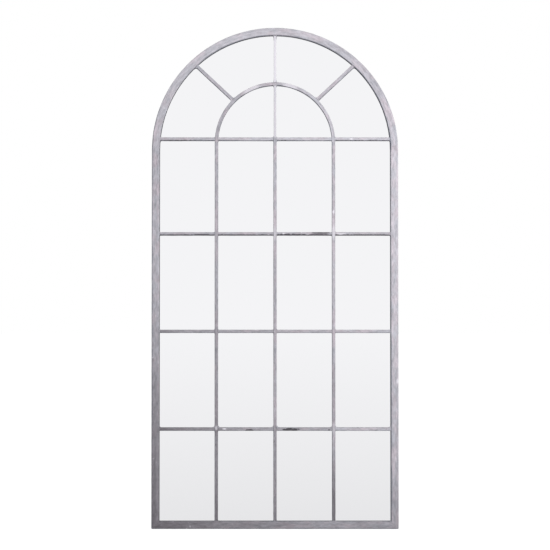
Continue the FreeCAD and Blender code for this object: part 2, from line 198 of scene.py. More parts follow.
@dataclass(frozen=True)
class IronWash(Finish):
    """Welded mild steel, brushed by hand with a lavender-grey lime wash.

    The wash is matt and chalky. Broad soft strokes follow each bar, cool and warm greys run into each
    other with a blush of pink here and there, painted shade darkens the wash towards the bottom and the
    left foot, bluish steel shows where it is thin and, as painted shade, on undersides, on sides turned
    from the upper right and next to the glass, dark iron shows in chips and, as painted shade, under the
    top two rows of cross bars and beside the right upright, and pale marks are real flecks and, in
    places, painted highlights.

    Stroke, bristle and pit are a length along the bar and a width. The other pairs are where something
    starts and where it is complete, or the least and the most of it.
    """

    name: str = "lime_washed_iron"
    cool: str = "#b0b0b8"
    warm: str = "#b2acb3"
    blush: str = "#bbb1b9"
    # Painted shade: the darker tone towards the bottom and the left foot
    smoke: str = "#736f75"
    # Bluish steel where the wash is thin: bare at the frame's back, painted shade on lee sides, undersides
    # and next to the glass
    steel_and_shade: str = "#575b66"
    # Dark iron in chips, and painted shade at the dark marks under rows 1 and 2 and beside the right upright
    iron: str = "#48454b"
    # Pale flecks, and painted highlight at the pale marks
    fleck_and_highlight: str = "#dcd9e0"
    stroke: Pair = (60 * MM, 9 * MM)
    bristle: Pair = (25 * MM, 2.5 * MM)
    pit: Pair = (16 * MM, 5 * MM)
    waviness: float = 0.4
    blotch: float = 34 * MM
    cloud: float = 150 * MM
    spot: float = 9 * MM
    bristle_weight: float = 0.6
    pit_weight: float = 0.8
    grit: float = 1.2
    contrast: float = 0.6
    shade: Pair = (0.7, 1.3)
    rough: Pair = (0.55, 0.72)
    relief: float = 0.25 * MM
    warming: Pair = (0.8, 1.2)
    blushing: Pair = (1.0, 1.3)
    blush_share: float = 0.6
    foot_lean: float = 1.6
    foot_reach: Pair = (-0.5, 0.2)
    drift: Pair = (-0.2, 0.2)
    edge_rub: float = 0.35
    raggedness: float = 0.8
    covering: Pair = (0.3, 1.15)
    flecking: Pair = (0.3, 0.26)
    fleck_share: float = 0.5
    edge_chips: float = 0.1
    mark_chips_and_shade: float = 0.5
    chipping: Pair = (0.78, 0.92)

    def sockets(self, tree: Tree, place: Socket) -> Inputs:
        """Return the wash's colour, roughness and relief.

        Args:
            tree: the material's tree.
            place: the point on the object.

        Returns:
            What the shader's sockets take.
        """
        sizes = (self.stroke, self.bristle, self.pit)
        strokes, bristles, pits = (self.brushed(tree, *size) for size in sizes)
        blotches = add(tree, NOISE, {"Vector": place, "Scale": 1 / self.blotch, "Detail": 4.0})
        fine = add(tree, MATH, {0: bristles, 1: self.bristle_weight, 2: strokes}, operation="MULTIPLY_ADD")
        relief = add(tree, MATH, {0: pits, 1: self.pit_weight, 2: fine}, operation="MULTIPLY_ADD")
        mottle = add(tree, MATH, {0: pits, 1: self.grit, 2: relief}, operation="MULTIPLY_ADD")
        usual = (1 + self.bristle_weight + self.pit_weight + self.grit) / 2
        spread = (usual - self.contrast, usual + self.contrast)
        level = add(tree, RANGE, {"Value": mottle, "From": spread, "To": self.shade})
        tint = self.tint(tree, place, strokes, blotches)
        stroked = add(tree, VECTOR, {0: tint, "Scale": level}, operation="SCALE")
        colour = self.wear(tree, place, strokes, stroked)
        rough = add(tree, RANGE, {"Value": blotches, "From": NOISE_SPREAD, "To": self.rough})
        normal = add(tree, BUMP, {"Height": relief, "Strength": 0.3, "Distance": self.relief})
        return {"Base Color": colour, "Roughness": rough, "Normal": normal}

    def brushed(self, tree: Tree, length: float, width: float) -> Socket:
        """Return noise that is drawn out along the bar.

        Args:
            tree: the material's tree.
            length: the length of a stroke.
            width: its width.

        Returns:
            The noise.
        """
        grain = add(tree, ATTRIBUTE, attribute_name="grain").node.outputs["Vector"]
        per_stroke = (1 / length, 1 / width, 1 / width)
        along = add(tree, VECTOR, {0: grain, 1: per_stroke}, operation="MULTIPLY")
        return add(tree, NOISE, {"Vector": along, "Scale": 1.0, "Detail": 2.0, "Distortion": self.waviness})

    def tint(self, tree: Tree, place: Socket, strokes: Socket, blotches: Socket) -> Socket:
        """Return the wash's colour: cool and warm strokes, darkened by painted shade towards the left foot.

        Args:
            tree: the material's tree.
            place: the point on the object.
            strokes: noise at the size of the brush strokes.
            blotches: noise at the size of the blotches.

        Returns:
            The colour.
        """
        both = add(tree, MATH, {0: strokes, 1: blotches}, operation="ADD")
        warmth = add(tree, RANGE, {"Value": both, "From": self.warming})
        rosy = add(tree, RANGE, {"Value": both, "From": self.blushing, "To Max": self.blush_share})
        # Painted shade: darker towards the left foot, with a cloudy edge, and at the shade marks
        axes = add(tree, SEPARATE, {"Vector": place}).node.outputs
        leaning = {0: axes["X"], 1: self.foot_lean, 2: axes["Z"]}
        height = add(tree, MATH, leaning, operation="MULTIPLY_ADD")
        clouds = add(tree, NOISE, {"Vector": place, "Scale": 1 / self.cloud, "Detail": 4.0})
        drift = add(tree, RANGE, {"Value": clouds, "To": self.drift})
        uneven = add(tree, MATH, {0: height, 1: drift}, operation="ADD")
        low = add(tree, RANGE, {"Value": uneven, "From": self.foot_reach, "To": (1.0, 0.0)})
        marked = add(tree, ATTRIBUTE, attribute_name=MarkKind.SMOKY.value).node.outputs["Fac"]
        shaded = add(tree, MATH, {0: low, 1: marked}, operation="ADD", use_clamp=True)
        colour: Any = self.cool
        for share, tone in ((warmth, self.warm), (rosy, self.blush), (shaded, self.smoke)):
            layer = {"Factor_Float": share, "A_Color": colour, "B_Color": tone}
            colour = add(tree, MIX, layer, data_type="RGBA")
        return colour

    def wear(self, tree: Tree, place: Socket, strokes: Socket, washed: Socket) -> Socket:
        """Return the colour with thin wash and painted shade, pale flecks and painted highlights, and chips
        down to the iron.

        Args:
            tree: the material's tree.
            place: the point on the object.
            strokes: noise at the size of the brush strokes.
            washed: the colour of the full wash.

        Returns:
            The colour.
        """
        cover, edge, chip, pale = (
            add(tree, ATTRIBUTE, attribute_name=name).node.outputs["Fac"]
            for name in ("wash", "edge", MarkKind.BARE.value, MarkKind.PALE.value)
        )
        rubbed = add(tree, MATH, {0: edge, 1: -self.edge_rub, 2: cover}, operation="MULTIPLY_ADD")
        ragged = add(tree, MATH, {0: strokes, 1: self.raggedness, 2: rubbed}, operation="MULTIPLY_ADD")
        covered = add(tree, RANGE, {"Value": ragged, "From": self.covering})
        spots = add(tree, NOISE, {"Vector": place, "Scale": 1 / self.spot, "Detail": 3.0})
        stray = add(tree, RANGE, {"Value": spots, "From": self.flecking, "To Max": self.fleck_share})
        # Pale flecks, and painted highlight at the pale marks
        bright = add(tree, MATH, {0: pale, 1: stray}, operation="MAXIMUM")
        # Chips, and painted shade at the dark marks
        worn = add(tree, MATH, {0: edge, 1: self.edge_chips, 2: spots}, operation="MULTIPLY_ADD")
        chipped_and_shaded = add(tree, MATH, {0: chip, 1: self.mark_chips_and_shade, 2: worn}, operation="MULTIPLY_ADD")
        bare_and_shade = add(tree, RANGE, {"Value": chipped_and_shaded, "From": self.chipping})
        colour: Any = self.steel_and_shade
        for share, tone in ((covered, washed), (bright, self.fleck_and_highlight), (bare_and_shade, self.iron)):
            layer = {"Factor_Float": share, "A_Color": colour, "B_Color": tone}
            colour = add(tree, MIX, layer, data_type="RGBA")
        return colour


@dataclass(frozen=True)
class SilveredMirror(Finish):
    """Float glass silvered on its back: a clear, almost flat mirror with a trace of haze."""

    name: str = "silvered_float_glass"
    silver: str = "#f4f4f6"
    haze: float = 60 * MM
    ripple: float = 180 * MM
    rough: Pair = (0.0, 0.03)
    relief: float = 0.2 * MM

    def sockets(self, tree: Tree, place: Socket) -> Inputs:
        """Return the silver's colour, haze and slow ripple.

        Args:
            tree: the material's tree.
            place: the point on the object.

        Returns:
            What the shader's sockets take.
        """
        haze = add(tree, NOISE, {"Vector": place, "Scale": 1 / self.haze, "Detail": 4.0})
        wave = add(tree, NOISE, {"Vector": place, "Scale": 1 / self.ripple, "Detail": 0.0})
        rough = add(tree, RANGE, {"Value": haze, "From": NOISE_SPREAD, "To": self.rough})
        normal = add(tree, BUMP, {"Height": wave, "Strength": 0.2, "Distance": self.relief})
        return {"Base Color": self.silver, "Metallic": 1.0, "Roughness": rough, "Normal": normal}


@dataclass(frozen=True)
class Hardboard(Finish):
    """Pressed wood-fibre board with its screened side out: brown, matt, mottled by fibre bundles.

    The wire screen's marks are 1.2 mm apart on the real board and are drawn twice as coarse to show.
    """

    name: str = "screened_hardboard"
    dark: str = "#5d4330"
    light: str = "#8a6a4c"
    fibre: float = 4 * MM
    stain: float = 160 * MM
    screen: float = 2.4 * MM
    stain_weight: float = 0.6
    lightening: Pair = (0.55, 1.05)
    fibre_relief: float = 0.8
    relief: float = 0.3 * MM
    rough: Pair = (0.62, 0.82)

    def sockets(self, tree: Tree, place: Socket) -> Inputs:
        """Return the board's colour, roughness and screen marks.

        Args:
            tree: the material's tree.
            place: the point on the object.

        Returns:
            What the shader's sockets take.
        """
        fibres = add(tree, NOISE, {"Vector": place, "Scale": 1 / self.fibre, "Detail": 6.0})
        stains = add(tree, NOISE, {"Vector": place, "Scale": 1 / self.stain, "Detail": 3.0})
        both = add(tree, MATH, {0: stains, 1: self.stain_weight, 2: fibres}, operation="MULTIPLY_ADD")
        share = add(tree, RANGE, {"Value": both, "From": self.lightening})
        tones = {"Factor_Float": share, "A_Color": self.dark, "B_Color": self.light}
        colour = add(tree, MIX, tones, data_type="RGBA")
        wires = {"Vector": place, "Scale": WAVE_PERIOD / self.screen}
        level, upright = (add(tree, "ShaderNodeTexWave", wires, bands_direction=axis) for axis in "ZX")
        screen = add(tree, MATH, {0: level, 1: upright}, operation="MULTIPLY")
        relief = add(tree, MATH, {0: fibres, 1: self.fibre_relief, 2: screen}, operation="MULTIPLY_ADD")
        normal = add(tree, BUMP, {"Height": relief, "Strength": 0.6, "Distance": self.relief})
        rough = add(tree, RANGE, {"Value": fibres, "From": NOISE_SPREAD, "To": self.rough})
        return {"Base Color": colour, "Roughness": rough, "Normal": normal}


@dataclass(frozen=True)
class ZincPlate(Finish):
    """Stamped steel with bright zinc plating: a cool grey metal with faint cloudy spangle."""

    name: str = "bright_zinc_plate"
    cool: str = "#a4a8ad"
    warm: str = "#b3ad9d"
    cloud: float = 6 * MM
    scratch: float = 0.8 * MM
    warming: Pair = (0.35, 0.65)
    relief: float = 0.05 * MM
    rough: Pair = (0.34, 0.52)

    def sockets(self, tree: Tree, place: Socket) -> Inputs:
        """Return the plating's colour, roughness and fine scratches.

        Args:
            tree: the material's tree.
            place: the point on the object.

        Returns:
            What the shader's sockets take.
        """
        clouds = add(tree, NOISE, {"Vector": place, "Scale": 1 / self.cloud, "Detail": 3.0})
        scratches = add(tree, NOISE, {"Vector": place, "Scale": 1 / self.scratch, "Detail": 2.0})
        share = add(tree, RANGE, {"Value": clouds, "From": self.warming})
        tones = {"Factor_Float": share, "A_Color": self.cool, "B_Color": self.warm}
        colour = add(tree, MIX, tones, data_type="RGBA")
        rough = add(tree, RANGE, {"Value": clouds, "From": NOISE_SPREAD, "To": self.rough})
        normal = add(tree, BUMP, {"Height": scratches, "Strength": 0.3, "Distance": self.relief})
        return {"Base Color": colour, "Metallic": 1.0, "Roughness": rough, "Normal": normal}


@dataclass(frozen=True)
class SoftPolymer(Finish):
    """A dark moulded or foamed polymer: black rubber, or the closed-cell foam of glazing tape."""

    name: str
    base: str
    bloom: str
    cell: float
    roughness: float
    cells_in_bloom: float = 10.0
    blooming: Pair = (0.4, 0.75)
    relief: float = 0.1 * MM

    def sockets(self, tree: Tree, place: Socket) -> Inputs:
        """Return the polymer's colour with its dusty bloom, and its cell relief.

        Args:
            tree: the material's tree.
            place: the point on the object.

        Returns:
            What the shader's sockets take.
        """
        cells = add(tree, NOISE, {"Vector": place, "Scale": 1 / self.cell, "Detail": 3.0})
        patch = self.cells_in_bloom * self.cell
        dust = add(tree, NOISE, {"Vector": place, "Scale": 1 / patch, "Detail": 4.0})
        share = add(tree, RANGE, {"Value": dust, "From": self.blooming})
        tones = {"Factor_Float": share, "A_Color": self.base, "B_Color": self.bloom}
        colour = add(tree, MIX, tones, data_type="RGBA")
        normal = add(tree, BUMP, {"Height": cells, "Strength": 0.4, "Distance": self.relief})
        return {"Base Color": colour, "Roughness": self.roughness, "Normal": normal}


RUBBER = SoftPolymer("moulded_black_rubber", "#1b1b1c", "#343435", 0.5 * MM, 0.7)
FOAM = SoftPolymer("black_foam_tape", "#2a2b2d", "#3d3e41", 0.8 * MM, 0.85)


# Pieces and their frame
def middle(low: float, high: float) -> float:
    """Return the value half way between two others."""
    return (low + high) / 2


def new_object(name: str, holds: bpy.types.ID) -> bpy.types.Object:
    """Return a new object in the scene that holds a mesh, a lamp or a camera."""
    made = bpy.data.objects.new(name, holds)
    bpy.context.scene.collection.objects.link(made)
    return made


def new_mesh(name: str, shape: bmesh.types.BMesh) -> bpy.types.Mesh:
    """Return a finished shape as a new mesh."""
    mesh = bpy.data.meshes.new(name)
    shape.to_mesh(mesh)
    shape.free()
    return mesh


def join_rings(shape: bmesh.types.BMesh, rings: list[list[bmesh.types.BMVert]]) -> None:
    """Join rings of points to their neighbours by faces.

    Args:
        shape: the shape that the points are in.
        rings: the rings in order, each with as many points as the others or a single one.
    """
    for near, far in zip(rings, rings[1:]):
        count = max(len(near), len(far))
        for i in range(count):
            j = (i + 1) % count
            loop = [near[i % len(near)], near[j % len(near)], far[j % len(far)], far[i % len(far)]]
            shape.faces.new(list(dict.fromkeys(loop)))


def place_piece(piece: bpy.types.Object, slot: Slot, *nodes: str) -> None:
    """Make a finished piece ride on the mirror's body and stand for its CAD nodes.

    Args:
        piece: the object, with its place in its mesh.
        slot: the record's material slot of the piece; it is not used.
        nodes: the CAD nodes that the piece replaces.
    """
    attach(piece, Body.MIRROR.value)
    if nodes:
        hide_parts(*nodes)
    log.info("%s: %d faces", piece.name, len(piece.data.polygons))


def dress(finish: Finish, *nodes: str) -> None:
    """Give CAD nodes that keep their shape a finish.

    Args:
        finish: the finish.
        nodes: the CAD nodes.
    """
    for node in nodes:
        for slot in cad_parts[node].material_slots:
            slot.material = finish.material()
        log.info("%s: CAD shape in %s", node, finish.name)


class NodeShape:
    """A Geometry Nodes tree with named inputs, and the plain meshes made with it."""

    def __init__(self, name: str, sockets: dict[str, str]) -> None:
        """Start an empty tree.

        Args:
            name: the tree's name.
            sockets: each input's name and what it holds, as in Blender's name of the socket type.
        """
        self.tree = bpy.data.node_groups.new(name, "GeometryNodeTree")
        face = self.tree.interface
        for way in ("INPUT", "OUTPUT"):
            face.new_socket("Geometry", in_out=way, socket_type="NodeSocketGeometry")
        self.keys = {
            label: face.new_socket(label, in_out="INPUT", socket_type="NodeSocket" + holds).identifier
            for label, holds in sockets.items()
        }
        self.given = add(self.tree, "NodeGroupInput").node.outputs

    def wash_and_shade_share(self, fade: tuple[Any, Any], thin: Socket, line: Any = 0.0) -> Socket:
        """Return the share of wash: full in front and fading towards the wall, which is bare at the frame's
        back and painted shade on the sides next to the glass.

        Args:
            fade: the depths behind the line where the wash starts to fade and ends.
            thin: the share that is missing as painted shade, on sides turned away from the light.
            line: the depth that is measured from.

        Returns:
            The share of cover.
        """
        place = add(self.tree, "GeometryNodeInputPosition")
        depth = add(self.tree, SEPARATE, {"Vector": place}).node.outputs["Y"]
        behind = add(self.tree, MATH, {0: depth, 1: line}, operation="SUBTRACT")
        fading = {"Value": behind, "From": fade, "To": (1.0, 0.0)}
        front = add(self.tree, RANGE, fading, interpolation_type="SMOOTHSTEP")
        left = add(self.tree, MATH, {0: 1.0, 1: thin}, operation="SUBTRACT")
        return add(self.tree, MATH, {0: front, 1: left}, operation="MULTIPLY")

    def close(self, geometry: Socket) -> None:
        """End the tree: real meshes in one material, shaded smooth.

        Args:
            geometry: the socket with the finished shape.
        """
        real = add(self.tree, "GeometryNodeRealizeInstances", {"Geometry": geometry})
        smooth = add(self.tree, "GeometryNodeSetShadeSmooth", {"Geometry": real})
        coat = {"Geometry": smooth, "Material": self.given["Material"]}
        add(self.tree, "NodeGroupOutput", {0: add(self.tree, "GeometryNodeSetMaterial", coat)})

    def make(self, name: str, start: bpy.types.Mesh, values: dict[str, Any]) -> bpy.types.Object:
        """Run the tree and return its result as an object with a plain mesh.

        Args:
            name: the object's name.
            start: the mesh that the tree begins with.
            values: the inputs by name.

        Returns:
            The object, linked to the scene, with no modifier left on it.
        """
        piece = new_object(name, start)
        modifier = piece.modifiers.new(self.tree.name, "NODES")
        modifier.node_group = self.tree
        for label, value in values.items():
            modifier[self.keys[label]] = value
        graph = bpy.context.evaluated_depsgraph_get()
        result = bpy.data.meshes.new_from_object(
            piece.evaluated_get(graph), preserve_all_data_layers=True, depsgraph=graph
        )
        piece.modifiers.remove(modifier)
        piece.data = result
        result.name = name
        return piece


# Iron bars
@dataclass(frozen=True)
class BarRun:
    """One bar: the CAD node that it stands for, its section and its middle line."""

    node: str
    face: float
    depth: float
    edge_radius: float
    start: Point
    end: Point
    bend: Bend = Bend.STRAIGHT
    radius: float = 0.0
    outer: Side = Side.NONE
    before: float = 0.0
    # Depths behind the front where the wash fades on the bar's sides: painted shade next to the glass
    fade: Pair = (1.5 * MM, 9 * MM)


@dataclass(frozen=True)
class WashMark:
    """A mark in the wash on the face of each bar whose name starts like this, in millimetres.

    Its middle lies along the bar from its start, and across it from its middle line to the left.
    """

    kind: MarkKind
    node: str
    along: float
    across: float
    length: float
    height: float
    strength: float = 1.0

    def share(self, along: float, across: float) -> float:
        """Return how strong the mark is at a point of the bar, given in metres."""
        lengthways = (along / MM - self.along) / (self.length / 2)
        crossways = (across / MM - self.across) / (self.height / 2)
        return self.strength * min(1.0, max(0.0, 2 - 2 * math.hypot(lengthways, crossways)))


# A mark that covers a short bar from end to end
WHOLE_BAR = (90, 0, 2000, 400)

# Bars darkened from end to end by painted shade, and how strongly
SHADED_BARS = {
    "cross_bar_row1_col1": 0.1,
    "cross_bar_row2": 0.24,
    "cross_bar_row3_col1": 0.45,
    "cross_bar_row3_col2": 0.38,
    "cross_bar_row3_col3": 0.22,
    "cross_bar_row3_col4": 0.12,
    "cross_bar_row4_col1": 0.3,
    "cross_bar_row4_col2": 0.38,
    "cross_bar_row4_col3": 0.33,
    "spoke": 0.15,
}

# Each row is a bar, then where along and across it the mark is, its length, height and strength
MARKS = {
    MarkKind.BARE: (
        # The marks below the middle line of rows 1 and 2 are painted shade under those bars and in their
        # reflection; the others are real chips
        ("cross_bar_row1_col1", 60, -5.5, 200, 7, 0.8),
        ("cross_bar_row1_col3", 24, -5, 36, 6, 0.8),
        ("cross_bar_row1_col4", 90, -5.5, 400, 6, 0.7),
        ("cross_bar_row2", 90, -5.3, 900, 10),
        ("cross_bar_row2_col1", 130, -4.2, 240, 9.5),
        ("cross_bar_row2_col3", 50, -3.2, 150, 10.5),
        ("cross_bar_row2_col3", 140, 4.5, 90, 6, 0.75),
        ("cross_bar_row4_col1", 174, -4, 14, 6, 0.6),
        ("cross_bar_row4_col2", 102, -4, 45, 12),
        ("cross_bar_row4_col3", 46, -1, 75, 15),
        ("cross_bar_row4_col3", 170, -2, 16, 7, 0.6),
        ("cross_bar_row4_col4", 162, 1, 24, 6, 0.55),
        ("stile_left", 837, -1, 30, 6, 0.6),
        ("upright_left", 246, 1, 10, 6, 0.6),
        ("upright_left", 262, 0, 12, 8, 0.6),
        ("upright_centre", 24, 4, 24, 5, 0.7),
        ("upright_centre", 187, -3, 14, 6, 0.6),
        ("upright_centre", 258, 4, 20, 6),
        # Painted shade along the left side of the right upright, which faces away from the light
        ("upright_right", 130, 6, 520, 6, 0.85),
    ),
    MarkKind.PALE: (
        ("cross_bar_row1_col2", 120, -5, 120, 9, 0.3),
        ("cross_bar_row1_col3", 125, -5, 110, 9, 0.25),
        ("cross_bar_row1_col4", 53, 0, 12, 7),
        ("cross_bar_row2_col3", 22, 1, 10, 7),
        ("cross_bar_row2_col4", 18, 0, 40, 7, 0.7),
        ("cross_bar_row4_col2", 21, 1, 16, 7),
        # The crown bars are paler from end to end. Painted highlight: the two marks on the inner arch and
        # the long faint marks on the frame and the right upright; the short marks are real pale flecks
        ("crown_bar_lower", *WHOLE_BAR, 0.5),
        ("crown_bar_upper", *WHOLE_BAR, 0.85),
        ("frame_arch", 750, 0, 1000, 90, 0.14),
        ("inner_arch", 248, 0, 60, 30, 0.6),
        ("inner_arch", 380, 0, 70, 30, 0.6),
        ("stile_left", 1060, 8, 500, 14, 0.09),
        ("stile_right", 477, -9, 20, 9, 0.9),
        ("stile_right", 950, 0, 1100, 90, 0.1),
        ("stile_right", 1030, 11, 600, 10, 0.2),
        ("upright_left", 301, 0, 18, 12, 0.6),
        ("upright_centre", 930, 0, 60, 14, 0.35),
        ("upright_right", 300, 0, 50, 20, 0.3),
        ("upright_right", 780, 0, 240, 30, 0.12),
        ("upright_right", 935, 0, 60, 14, 0.55),
        ("upright_right", 1001, 0, 14, 7),
    ),
    MarkKind.SMOKY: (
        # Painted shade: darker towards the bottom and the left foot
        *((bar, *WHOLE_BAR, strength) for bar, strength in SHADED_BARS.items()),
        ("cross_bar_row2_col3", 142, 0, 76, 60),
        ("bottom_rail", 650, 0, 900, 90, 0.4),
        ("frame_arch", 380, 0, 740, 90, 0.12),
        ("inner_arch", 480, 0, 500, 400, 0.25),
        ("stile_left", 30, 0, 500, 90, 0.1),
        ("stile_right", 0, 0, 420, 90, 0.35),
        ("upright", 600, 0, 9000, 400, 0.15),
        ("upright_left", 400, 0, 2400, 400, 0.28),
        ("upright_left", 480, 0, 700, 400, 0.5),
        ("upright_centre", 0, 0, 1000, 400, 0.55),
        ("upright_centre", 500, 0, 1500, 400, 0.3),
        ("upright_right", 0, 0, 560, 400, 0.76),
        ("upright_right", 30, 0, 260, 400),
        ("upright_right", 400, 0, 300, 400, 0.45),
    ),
}


@dataclass
class BarSweep:
    """The tree that sweeps a bar's rounded section along a line or a half circle.

    It leaves these attributes on the mesh for the wash: grain (along, across and through the bar, in
    metres), wash (how well the brush covered, less the painted shade) and edge (how near a long edge is).
    The wash is thinned as painted shade on the lower and left sides of the bars, which are turned away
    from a light at the upper right, and on the sides next to the glass.
    """

    arc_points: int = 181
    ring_spacing: float = 4 * MM
    face_cuts: int = 6
    corner_steps: int = 3
    dent: float = 0.3 * MM
    dent_size: float = 22 * MM
    # Painted shade: the wash is thin on the sides of the bars turned away from a light at the upper right
    shade_light_from: Point = (0.5, 0.0, 0.85)
    shade_side: Pair = (0.0, -0.4)
    shade_side_share: float = 0.85
    shade_side_reach: float = 1.6 * MM
    shade_side_reach_share: float = 0.14
    outer_fade: Pair = (17.5 * MM, 24.5 * MM)
    edge_share: float = 0.72
    outer_share: float = 0.3

    def __post_init__(self) -> None:
        """Build the tree."""
        section = ("Face", "Depth", "Edge Radius", "Outer Side")
        floats = ("Bend Radius", *section, "Way Before", "Fade Start", "Fade End", "Seed")
        sockets = {"Bent": "Bool", "Start": "Vector", "End": "Vector"}
        sockets |= dict.fromkeys(floats, "Float") | {"Material": "Material"}
        self.shape = NodeShape("bar_sweep", sockets)
        self.shape.close(self.wear(self.dents(self.sweep())))

    def sweep(self) -> Socket:
        """Return the swept bar with its grain.

        Returns:
            The bar, open at its ends.
        """
        tree, given = self.shape.tree, self.shape.given
        line = add(tree, "GeometryNodeCurvePrimitiveLine", {"Start": given["Start"], "End": given["End"]})
        bow = {"Resolution": self.arc_points, "Radius": given["Bend Radius"], "Sweep Angle": math.pi}
        arc = add(tree, "GeometryNodeCurveArc", bow | {"Start Angle": 0.0})
        upright = {"Geometry": arc, "Translation": given["Start"], "Rotation": (math.pi / 2, 0.0, 0.0)}
        raised = add(tree, "GeometryNodeTransform", upright)
        either = {"Switch": given["Bent"], "False": line, "True": raised}
        path = add(tree, "GeometryNodeSwitch", either, input_type="GEOMETRY")
        spaced = {"Curve": path, "Length": self.ring_spacing}
        rings = add(tree, "GeometryNodeResampleCurve", spaced, mode="LENGTH")
        level = add(tree, "GeometryNodeSetCurveNormal", {"Curve": rings, "Normal": BACKWARDS}, mode="FREE")
        walked = add(tree, "GeometryNodeSplineParameter").node.outputs["Length"]
        in_all = add(tree, MATH, {0: walked, 1: given["Way Before"]}, operation="ADD")
        onwards = add(tree, "GeometryNodeInputTangent")
        left = add(tree, VECTOR, {0: onwards, 1: BACKWARDS}, operation="CROSS_PRODUCT")
        # How far the bar's left side faces the light of the painted shade
        to_shade_light = add(tree, VECTOR, {0: left, 1: self.shade_light_from}, operation="DOT_PRODUCT")
        measured = level
        for name, value in (("along", in_all), ("left_to_brush", to_shade_light)):
            measured = add(tree, STORE, {"Geometry": measured, "Name": name, "Value": value})
        place = add(tree, "GeometryNodeInputPosition")
        flat = {"Geometry": self.outline(), "Name": "section", "Value": place}
        section = add(tree, STORE, flat, data_type="FLOAT_VECTOR")
        swept = add(tree, "GeometryNodeCurveToMesh", {"Curve": measured, "Profile Curve": section})
        across = add(tree, READ, {"Name": "section"}, data_type="FLOAT_VECTOR")
        parts = add(tree, SEPARATE, {"Vector": across}).node.outputs
        ways = {"X": add(tree, READ, {"Name": "along"}), "Y": parts["Y"], "Z": parts["X"]}
        grain = add(tree, "ShaderNodeCombineXYZ", ways)
        grained = {"Geometry": swept, "Name": "grain", "Value": grain}
        return add(tree, STORE, grained, data_type="FLOAT_VECTOR")

    def outline(self) -> Socket:
        """Return the section: a rectangle with round corners, its flat sides cut into short steps.

        Returns:
            The section as a closed curve.
        """
        tree, given = self.shape.tree, self.shape.given
        sides = {"Width": given["Depth"], "Height": given["Face"]}
        square = add(tree, "GeometryNodeCurvePrimitiveQuadrilateral", sides)
        corner = {"Count": self.corner_steps, "Radius": given["Edge Radius"], "Limit Radius": True}
        rounded = add(tree, "GeometryNodeFilletCurve", {"Curve": square} | corner, mode="POLY")
        number = add(tree, "GeometryNodeInputIndex")
        per_corner = {0: number, 1: self.corner_steps + 1}
        in_corner = add(tree, "FunctionNodeIntegerMath", per_corner, operation="MODULO")
        ends = {"A_INT": in_corner, "B_INT": self.corner_steps}
        last = add(tree, "FunctionNodeCompare", ends, data_type="INT", operation="EQUAL")
        cuts = add(tree, "FunctionNodeIntegerMath", {0: last, 1: self.face_cuts}, operation="MULTIPLY")
        return add(tree, "GeometryNodeSubdivideCurve", {"Curve": rounded, "Cuts": cuts})

    def dents(self, bar: Socket) -> Socket:
        """Return the bar with the shallow dents of hand work, all of them inwards.

        Args:
            bar: the swept bar.

        Returns:
            The dented bar.
        """
        tree, given = self.shape.tree, self.shape.given
        place = add(tree, "GeometryNodeInputPosition")
        lumps = {"Vector": place, "W": given["Seed"], "Scale": 1 / self.dent_size, "Detail": 1.0}
        uneven = add(tree, NOISE, lumps, noise_dimensions="4D")
        depth = add(tree, RANGE, {"Value": uneven, "From": NOISE_SPREAD, "To": (-self.dent, 0.0)})
        outwards = add(tree, "GeometryNodeInputNormal")
        step = add(tree, VECTOR, {0: outwards, "Scale": depth}, operation="SCALE")
        return add(tree, "GeometryNodeSetPosition", {"Geometry": bar, "Offset": step})

    def wear(self, bar: Socket) -> Socket:
        """Return the bar with its wash and edge attributes.

        Args:
            bar: the dented bar.

        Returns:
            The bar with the attributes stored.
        """
        tree, given = self.shape.tree, self.shape.given
        stored = add(tree, READ, {"Name": "grain"}, data_type="FLOAT_VECTOR")
        grain = add(tree, SEPARATE, {"Vector": stored}).node.outputs
        outwards = add(tree, MATH, {0: grain["Y"], 1: given["Outer Side"]}, operation="MULTIPLY")
        reach = add(tree, MATH, {0: given["Face"], 1: self.outer_share}, operation="MULTIPLY")
        outer = add(tree, RANGE, {"Value": outwards, "From Max": reach}, interpolation_type="SMOOTHSTEP")
        fade = tuple(
            add(tree, MIX, {"Factor_Float": outer, "A_Float": given[name], "B_Float": far})
            for name, far in zip(("Fade Start", "Fade End"), self.outer_fade)
        )
        line = add(tree, SEPARATE, {"Vector": given["Start"]}).node.outputs["Y"]
        front = add(tree, MATH, {0: given["Depth"], 1: -0.5, 2: line}, operation="MULTIPLY_ADD")
        wash = self.shape.wash_and_shade_share(fade, self.painted_lee_shade(grain["Y"]), front)
        shares = []
        for distance, size in ((grain["Y"], given["Face"]), (grain["Z"], given["Depth"])):
            plain = add(tree, MATH, {0: distance}, operation="ABSOLUTE")
            double = add(tree, MATH, {0: plain, 1: 2.0}, operation="MULTIPLY")
            shares.append(add(tree, MATH, {0: double, 1: size}, operation="DIVIDE"))
        nearer = add(tree, MATH, dict(enumerate(shares)), operation="MINIMUM")
        edge = add(tree, RANGE, {"Value": nearer, "From Min": self.edge_share})
        for name, value in (("wash", wash), ("edge", edge)):
            bar = add(tree, STORE, {"Geometry": bar, "Name": name, "Value": value})
        return bar

